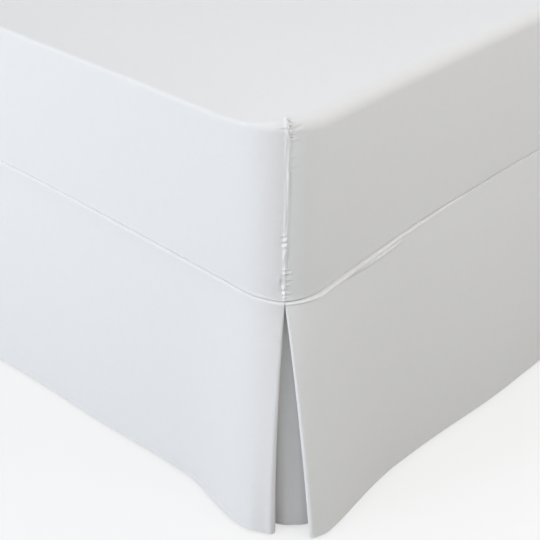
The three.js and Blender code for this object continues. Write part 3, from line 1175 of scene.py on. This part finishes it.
@dataclass
class SkirtPanel(ClothSheet):
    """One flat panel of the skirt with its two turned-back ends, in millimetres."""

    side: Side = field(kw_only=True)
    return_length: float = 50
    return_bend: float = 3
    """Bend radius of a turned-back end, halfway down."""
    fold_curl_reach: float = 38
    """How far from the fold the hem's curl starts."""
    fold_gap_reach: float = 120
    """How far from the corner the face is shifted to leave the gap at the join."""
    fold_bow_reach: float = 150
    """How far from the corner the fold's bowed line tells."""
    behind_cover: float = 1
    """How much tighter the panel goes round the corner than the cover does."""
    tuck: float = 6.2
    """How far the top edge turns in behind the cover."""
    mean_rise: float = 22
    """How much longer the cloth is than at a corner, since the join seam rises."""
    roll_rises: float = 1.5
    """Over how much of the drop the puffed edge comes out."""
    roll_waves: Waves = ((0.14, 23.0, 0), (0.1, 9.1, 2))
    second_starts: Span = (95, 140)
    """Distances from the corner over which the second ridge grows and fades."""
    second_ends: Span = (215, 250)
    second_depth: Span = (2.5, 9.6)
    """How far below the cover's edge it runs, first and last, and over what distances it sinks."""
    second_sinks: Span = (95, 185)
    second_spread: float = 2.0
    hanging_waves: Waves = ((0.9, 43.0, 0), (0.7, 71.0, 1))
    """The slow waves of the hanging cloth, the first of which starts elsewhere on each side."""
    waves_grow_down: Span = (0.05, 1.0)
    """Shares of the drop, and distances from the corner, over which they set in."""
    waves_grow_along: Span = (20, 120)
    bend_steps: int = 12
    far_gap: float = 70
    """From the last of the places below to the next column, and on from there."""
    far_step: float = 80
    middle_gap: float = 40
    """Least distance from those columns to the middle of the side."""
    face_places: tuple[float, ...] = (
        *(0, 1.2, 2.6, 4.2, 6, 8.2, 11, 14, 17.5, 21.5, 26, 31, 37, 43, 49, 55, 62, 70, 79, 89),
        *(100, 112, 125, 139, 154, 170, 188, 208, 230, 255, 285, 320, 360, 405, 455, 510, 570),
    )
    """Distances along the cloth from a corner's seam."""
    drops: tuple[float, ...] = (
        *(-3.2, -1.2, -0.3, 0.1, 0.5, 0.9, 1.3, 1.7, 2.1, 2.6, 3.1, 3.6, 4.2, 4.8, 5.5, 6.3, 7.2),
        *(8.2, 9.3, 10.4, 11.6, 13, 14.6, 16.5, 19, 22, 27, 33, 40, 49, 60, 73, 88, 105, 124),
        *(145, 168, 192, 217, 242, 267, 290, 311, 329, 344, 356, 365, 371.5, 376, 379.5, 382.35),
    )
    """Distances down from the join seam at a corner."""

    def face_at(self, near: np.ndarray, share: np.ndarray) -> tuple[np.ndarray, np.ndarray]:
        """Where the panel's face hangs.

        Args:
            near: Distance along the cloth from the nearest corner's seam.
            share: Share of the drop, 0 at the seam and 1 at the hem.

        Returns:
            Distance along the side from its nearest sharp corner, and distance outwards.
        """
        kind, bed = self.side.shape, self.bed
        radius = bed.corner_radius - self.behind_cover
        past = near + kind.fold_gap * (1 - smoothstep(near, 0, self.fold_gap_reach))
        turn = np.maximum(0, bed.half_arc - past) / bed.corner_radius
        top_s = bed.corner_radius - radius * np.sin(turn) + np.maximum(0, past - bed.half_arc)
        top_e = radius * np.cos(turn) - bed.corner_radius
        straight = bed.corner_radius - bed.half_arc
        lead = lerp(kind.fold_setback, straight, smoothstep(near, 0, kind.flare_to))
        hem_s = near + lead
        flare = kind.flare * (1 - smoothstep(hem_s, kind.flare_from, kind.flare_to))
        swell = kind.hem_swell * smoothstep(hem_s, kind.flare_to, 2 * kind.flare_to)
        curl = kind.fold_curl * (1 - smoothstep(hem_s, 0, self.fold_curl_reach))
        hem_e = kind.hem_out + flare + swell
        bows = 1 - smoothstep(near, 0, self.fold_bow_reach)
        bowed = lerp(share, np.clip(share, 0, 1) ** kind.fold_bow, bows)
        return lerp(top_s, hem_s, bowed), lerp(top_e, hem_e, bowed) - curl * bowed**3

    def soft_folds(
        self, way: np.ndarray, near: np.ndarray, below: np.ndarray, share: np.ndarray
    ) -> np.ndarray:
        """Relief of the face: the puffed edge, the soft fold under it and the slow hanging waves.

        Args:
            way: Distance along the cloth from the side's first corner.
            near: Distance from its nearest corner.
            below: Distance down from the join seam.
            share: Share of the drop.

        Returns:
            How far the cloth stands out.
        """
        kind = self.side.shape
        under = below - kind.cover_laps * smoothstep(near, *self.bed.lap_grows)
        puff = through(near, kind.skirt_roll) * ripple(way, self.roll_waves, 1)
        wide = np.where(under < kind.roll_at, self.roll_rises, kind.roll_falls)
        roll = puff * bump(under, kind.roll_at, wide)
        turned_in = -self.tuck * (1 - smoothstep(under, *kind.groove))
        depth = lerp(*self.second_depth, smoothstep(near, *self.second_sinks))
        shows = smoothstep(near, *self.second_starts) * (1 - smoothstep(near, *self.second_ends))
        second = kind.second_roll * shows * bump(under, depth, self.second_spread)
        (height, length, _), *others = self.hanging_waves
        waves = ripple(way, ((height, length, self.side.length), *others))
        grown = smoothstep(share, *self.waves_grow_down) * smoothstep(near, *self.waves_grow_along)
        hanging = waves * grown
        return roll + turned_in + second + hanging

    def turned_end(self, face: np.ndarray, radius: np.ndarray, hand: int) -> np.ndarray:
        """The bend and the return behind the end that the face starts from.

        Args:
            face: The face's points, starting from that end.
            radius: The bend's radius at each row.
            hand: 1 where the outer face is on the right of the way out of that end, else -1.

        Returns:
            Points from the bend to the far end of the return.
        """
        way = unit((face[:, :1] - face[:, 1:2]) * (1, 1, 0))
        inwards = np.zeros_like(way)
        inwards[..., :2] = -hand * rightwards(way)
        turns = np.radians(np.linspace(0, 180, self.bend_steps + 1)[1:-1])[None, :, None]
        deep = radius[:, None, None]
        bend = face[:, :1] + way * deep * np.sin(turns) + inwards * deep * (1 - np.cos(turns))
        steps = np.diff(face, axis=1) * (1, 1, 0)
        reach = np.cumsum(np.linalg.norm(steps[-1], axis=-1))
        count = int(np.searchsorted(reach, self.return_length)) + 1
        inside = np.zeros_like(steps)
        inside[..., :2] = hand * rightwards(steps)
        back = face[:, 1 : count + 1] + inside[:, :count] * 2 * deep
        return np.concatenate([bend, face[:, :1] + inwards * 2 * deep, back], axis=1)

    def shape(self) -> np.ndarray:
        """Hangs the panel.

        Returns:
            Its points, from one return round the face to the other.
        """
        side, bed = self.side, self.bed
        total = bed.cloth_length(side)
        last = total / 2 - self.middle_gap
        half = [place for place in self.face_places if place < last]
        first = np.array([*half, *np.arange(half[-1] + self.far_gap, last, self.far_step)])
        way = np.concatenate([first, [total / 2], total - first[::-1]])[None, :]
        near = np.minimum(way, total - way)
        drops = np.array(self.drops)[:, None]
        share = np.clip(drops, 0, None) / self.drops[-1]
        seam = bed.seam_height(side, near) - bed.join_gap / 2
        height = np.where(drops < 0, seam - drops, lerp(seam, bed.hem, share))
        s, e = self.face_at(near, share)
        plan = bed.on_side(side, np.where(way < total / 2, s, side.length - s), e)
        out = rightwards(np.gradient(plan, axis=1))
        lift = self.soft_folds(way, near, seam - height, share)
        face = np.concatenate([plan + out * lift[..., None], height[..., None]], axis=-1)
        kind = side.shape
        radius = lerp(kind.fold_radius_top, kind.fold_radius_hem, share[:, 0] ** kind.fold_opens)
        start = self.turned_end(face, radius, -1)[:, ::-1]
        end = self.turned_end(face[:, ::-1], radius, 1)
        return np.concatenate([start, face, end], axis=1)

    def lay_out(self) -> tuple[np.ndarray, np.ndarray, np.ndarray]:
        """The panel hanging, and laid flat.

        Returns:
            The points, and the flat places to each face's left and to its right.
        """
        points = self.shape()[::-1]
        steps = np.linalg.norm(np.diff(points.mean(axis=0), axis=0), axis=-1)
        return self.straight_cut(np.concatenate([[0], np.cumsum(steps)]), points)

    @property
    def name(self) -> str:
        """The piece's name."""
        return f"skirt_percale_{self.side.name}"

    @property
    def flat_size(self) -> tuple[float, float]:
        """Size of the flat cloth."""
        ends = 2 * (self.return_length + math.pi * self.return_bend)
        return self.bed.cloth_length(self.side) + ends, self.bed.corner_seam + self.mean_rise


@dataclass
class PleatUnderlay(ClothSheet):
    """The cloth behind a corner's opening, which wraps the base, in millimetres."""

    before: Side = field(kw_only=True)
    after: Side = field(kw_only=True)
    top_inset: float = 8
    """How far its top lies inside the cover's face."""
    top_radius: float = 70
    hem_radius: float = 58
    reach: float = 95
    """How far from the sharp corner it ends on each side."""
    flares: float = 12
    """How much longer its hem is than a path halfway down, over both straights."""
    hem: float = 3
    crease_depth: float = 2.5
    crease_width: float = 12
    rows: int = 33
    bend_steps: int = 36
    straight_steps: int = 8

    def path(self, offsets: tuple[float, float], radius: float) -> np.ndarray:
        """A plan path round the corner.

        Args:
            offsets: How far it lies outside the cover's face, on each side of the corner.
            radius: Its bend round the corner.

        Returns:
            Its points, evenly spaced along its straights and round its bend.
        """
        first, last = offsets
        angle = np.radians(np.linspace(0, 90, self.bend_steps + 1))
        bend = self.bed.on_side(
            self.before,
            self.before.length + last - radius + radius * np.sin(angle),
            first - radius + radius * np.cos(angle),
        )
        start = self.bed.on_side(self.before, self.before.length - self.reach, first)
        end = self.bed.on_side(self.after, self.reach, last)
        steps = np.linspace(0, 1, self.straight_steps + 1)[:, None]
        lead_in = lerp(start, bend[0], steps[:-1])
        lead_out = lerp(bend[-1], end, steps[1:])
        return np.concatenate([lead_in, bend, lead_out])

    def lay_out(self) -> tuple[np.ndarray, np.ndarray, np.ndarray]:
        """The underlay hanging, with a soft crease down its corner, and laid flat.

        Returns:
            The points, and the flat places to each face's left and to its right.
        """
        top = self.path((-self.top_inset, -self.top_inset), self.top_radius)
        low = self.path((self.before.shape.pleat_out, self.after.shape.pleat_out), self.hem_radius)
        share = np.linspace(1, 0, self.rows)[:, None]
        plan = lerp(top[None], low[None], share[..., None])
        ahead = np.gradient(plan, axis=1)
        way = np.cumsum(np.linalg.norm(ahead, axis=-1), axis=1)
        from_middle = np.abs(way - way[:, way.shape[1] // 2][:, None])
        crease = self.crease_depth * share * np.exp(-from_middle / self.crease_width)
        plan = plan - rightwards(ahead) * crease[..., None]
        height = lerp(self.bed.corner_seam - self.bed.join_gap, self.hem, share)
        points = np.concatenate([plan, np.broadcast_to(height, way.shape)[..., None]], axis=-1)
        return self.straight_cut(way, points)

    @property
    def name(self) -> str:
        """The piece's name."""
        return f"pleat_percale_{self.before.name}_{self.after.name}"

    @property
    def flat_size(self) -> tuple[float, float]:
        """Size of the flat cloth.

        Returns:
            The length of its path round the corner, halfway down, and its drop.
        """
        radius = (self.top_radius + self.hem_radius) / 2
        round_corner = radius * math.pi / 2 + 2 * (self.reach - radius)
        return round_corner + self.flares, self.bed.corner_seam - self.hem


# ---- The bed under the cloth -------------------------------------------------------------------


@dataclass
class Mattress:
    """A crowned mattress with a tape edge round its top and its bottom, in millimetres."""

    bed: Bed
    clearance: float = 4.6
    """How far it stays inside the cover's face."""
    bottom: float = 398.4
    cuts: int = 46
    crowding: float = 1.8
    """Power that draws the cube's cuts towards its edges."""
    edge_radius: float = 16
    edge_pull: float = 0.35
    """Share of that radius by which the top and the bottom draw in."""
    wall_reach: float = 30
    """How far inside the wall its shaping starts."""
    tape_rise: float = 1.2
    tape_spread: float = 5
    edge_dip: float = 3.0
    """How far the top's edge dips, and the share of the height at which that starts."""
    dip_starts: float = 0.9
    merge: float = 0.01
    """Points closer than this are one."""
    nowhere: float = 1e-9
    """Shorter than any real length, so that nothing is divided by nought."""

    def build(self, material: bpy.types.Material) -> bpy.types.Object:
        """Makes the mattress from a cube that is cut finely and then rounded.

        Args:
            material: Its ticking.

        Returns:
            The piece.
        """
        bed = self.bed
        bpy.ops.object.select_all(action="DESELECT")
        bpy.ops.mesh.primitive_cube_add(size=2)
        piece = bpy.context.object
        piece.name = piece.data.name = "mattress_ticking_cover"
        bpy.ops.object.mode_set(mode="EDIT")
        bpy.ops.mesh.subdivide(number_cuts=self.cuts)
        bpy.ops.object.mode_set(mode="OBJECT")
        mesh = piece.data
        cube = vertex_places(mesh)
        spread = np.sign(cube) * (1 - (1 - np.abs(cube)) ** self.crowding)
        half = np.array([bed.width, bed.length, bed.crown - self.bottom]) / 2
        half[:2] -= self.clearance
        wide = spread * half
        plan_radius = bed.corner_radius - self.clearance
        core = np.clip(wide[:, :2], -(half[:2] - plan_radius), half[:2] - plan_radius)
        arm = wide[:, :2] - core
        reach = np.linalg.norm(arm, axis=1, keepdims=True)
        square = np.abs(arm).max(axis=1, keepdims=True)
        away = arm / np.maximum(reach, self.nowhere)
        tape_height = half[2] - self.edge_radius
        pulled = self.edge_radius * self.edge_pull * smoothstep(np.abs(wide[:, 2]), tape_height, half[2])
        at_wall = smoothstep(square[:, 0], plan_radius - self.wall_reach, plan_radius)
        scale = 1 - (pulled * at_wall / plan_radius)[:, None]
        tape = self.tape_rise * bump(np.abs(wide[:, 2]), tape_height, self.tape_spread)
        plan = core + away * (square * scale + ((tape - self.tape_rise) * at_wall)[:, None])
        top = bed.top_height(plan[:, 0], plan[:, 1]) - self.clearance
        rise = (wide[:, 2] / half[2] + 1) / 2
        dip = self.edge_dip * at_wall * smoothstep(rise, self.dip_starts, 1.0)
        height = lerp(self.bottom, top, rise) - dip
        points = np.column_stack([plan, height]) * MM
        mesh.vertices.foreach_set("co", points.ravel())
        mesh.materials.append(material)
        merge_points(self.merge, outwards=True)
        bpy.ops.object.shade_smooth()
        return piece


# ---- The studio --------------------------------------------------------------------------------


Place = tuple[float, float, float]
"""A point of the scene, in metres."""

CORNER: Place = (0.5, -0.8, 0.35)
"""What most of the lamps aim at: the near corner of the bed."""
JOIN: Place = (0.7, -0.4, 0.5)
"""The join seam on the long side."""
COOL, NEUTRAL, WARM = "#f4f8ff", "#f7f9ff", "#fffefb"


@dataclass(frozen=True)
class SoftBox:
    """A large soft lamp, in metres and watts."""

    name: str
    stands: Place
    aims: Place
    wide: float
    tall: float
    power: float
    colour: str

    def build(self) -> None:
        """Sets the lamp up, out of the camera's sight."""
        aim = Vector(self.aims) - Vector(self.stands)
        bpy.ops.object.light_add(
            type="AREA", location=self.stands, rotation=aim.to_track_quat("-Z", "Y").to_euler()
        )
        lamp = bpy.context.object
        lamp.name = self.name
        lamp.visible_camera = False
        lamp.data.shape = "RECTANGLE"
        lamp.data.size = self.wide
        lamp.data.size_y = self.tall
        lamp.data.energy = self.power
        lamp.data.color = linear(self.colour)[:3]


@dataclass(frozen=True)
class Studio:
    """The floor, the light and the camera, in metres."""

    floor_size: float = 24
    floor_height: float = -0.001
    backdrop: str = "#f0f0f0"
    lamps: tuple[SoftBox, ...] = (
        SoftBox("key_light", (-1.76, -4.71, 1.23), CORNER, 2.6, 2.2, 100, COOL),
        SoftBox("front_light", (-0.02, -5.03, 2.07), CORNER, 2.6, 2.2, 70, COOL),
        SoftBox("back_light", (-1.27, 1.46, 4.45), CORNER, 3.0, 3.0, 83, NEUTRAL),
        SoftBox("rear_light", (-3.8, 3.3, 1.7), (0, 0, 0.35), 3.2, 2.2, 80, NEUTRAL),
        SoftBox("side_light", (3.72, 1.9, 2.22), CORNER, 3.2, 2.2, 45, WARM),
        SoftBox("high_side_light", (2.04, -2.64, 4.51), CORNER, 2.4, 2.4, 40, WARM),
        SoftBox("high_far_light", (2.2, 0.9, 4.51), CORNER, 2.6, 2.4, 9, WARM),
        SoftBox("low_side_light", (4.98, -0.41, 1.31), CORNER, 3.2, 2.0, 12, WARM),
        SoftBox("near_side_light", (2.0, 0.1, 2.7), JOIN, 1.4, 1.2, 2, WARM),
        SoftBox("low_near_light", (2.6, -0.7, 1.9), JOIN, 1.4, 1.0, 16, WARM),
    )
    camera_from: Place = (1.76166, -2.16013, 1.43595)
    camera_pitch: float = math.radians(31.0418)
    camera_turn: float = math.radians(42.621)
    lens: float = 93.335
    """In millimetres, as the sensor's width is."""
    sensor_width: float = 36
    sees_to: float = 60

    def build(self, paper: bpy.types.Material) -> None:
        """Sets the studio up.

        Args:
            paper: The floor's finish.
        """
        bpy.ops.object.select_all(action="DESELECT")
        bpy.ops.mesh.primitive_plane_add(size=self.floor_size, location=(0, 0, self.floor_height))
        floor = bpy.context.object
        floor.name = "floor"
        floor.data.materials.append(paper)

        # The backdrop past the floor is only seen: the lamps and the floor give all the light.
        world = bpy.data.worlds.new("backdrop")
        world.use_nodes = True
        world.node_tree.nodes["Background"].inputs["Color"].default_value = linear(self.backdrop)
        world.cycles_visibility.diffuse = False
        world.cycles_visibility.glossy = False
        bpy.context.scene.world = world
        for lamp in self.lamps:
            lamp.build()

        turn = (math.pi / 2 - self.camera_pitch, 0, self.camera_turn)
        bpy.ops.object.camera_add(location=self.camera_from, rotation=turn)
        camera = bpy.context.object
        camera.data.lens = self.lens
        camera.data.sensor_width = self.sensor_width
        camera.data.clip_end = self.sees_to
        bpy.context.scene.camera = camera
        bpy.context.scene.view_settings.view_transform = "Standard"


# ---- Assembly ----------------------------------------------------------------------------------


@dataclass
class ValanceSheetBed:
    """The whole object: the cloth's pieces, the mattress and the base."""

    bed: Bed = field(default_factory=Bed)
    cloth: bpy.types.Material = field(default_factory=CottonPercale().make)
    mattress_fill: float = 0.95

    def place(self, piece: bpy.types.Object, slot: Slot, node: str) -> None:
        """Fixes a finished piece to the bed in place of its solid.

        Args:
            piece: The piece.
            slot: Its material slot; not used.
            node: The solid that it stands for.
        """
        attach(piece, BODY)
        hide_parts(node)
        LOG.info("%s: %d faces", piece.name, len(piece.data.polygons))

    def hang(
        self, sheet: ClothSheet, node: str, rests_on: str
    ) -> bpy.types.Object:
        """Makes a sheet of cloth and fixes it in place.

        Args:
            sheet: The sheet.
            node: The solid that it stands for.
            rests_on: The piece that it lies on or hangs from; not used.

        Returns:
            The piece.
        """
        piece = sheet.build(self.cloth)
        self.place(piece, Slot.COTTON, node)
        flat = tuple(round(length * MM, 4) for length in sheet.flat_size)
        return piece

    def build(self) -> None:
        """Makes and dresses every piece."""
        mattress = Mattress(self.bed).build(StripedTicking().make())
        self.place(mattress, Slot.TICKING, "mattress")
        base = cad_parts["bed_base"]
        base.data.materials.clear()
        base.data.materials.append(WovenUpholstery().make())

        cover = FittedCover(self.bed)
        area = math.prod(cover.flat_size) - 4 * cover.flat_drop**2
        held_by = self.hang(cover, "fitted_cover", mattress.name).name
        sides = self.bed.sides
        for side, following in zip(sides, sides[1:] + sides[:1]):
            panel = SkirtPanel(self.bed, side=side)
            self.hang(panel, f"skirt_{side.name}", held_by)
            underlay = PleatUnderlay(self.bed, before=side, after=following)
            self.hang(underlay, f"pleat_{side.name}_{following.name}", held_by)


def main() -> None:
    """Builds the bed and the studio."""
    logging.basicConfig(level=logging.INFO, format="%(message)s")
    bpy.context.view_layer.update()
    ValanceSheetBed().build()
    Studio().build(StudioPaper().make())


if __name__ == "__main__":
    main()
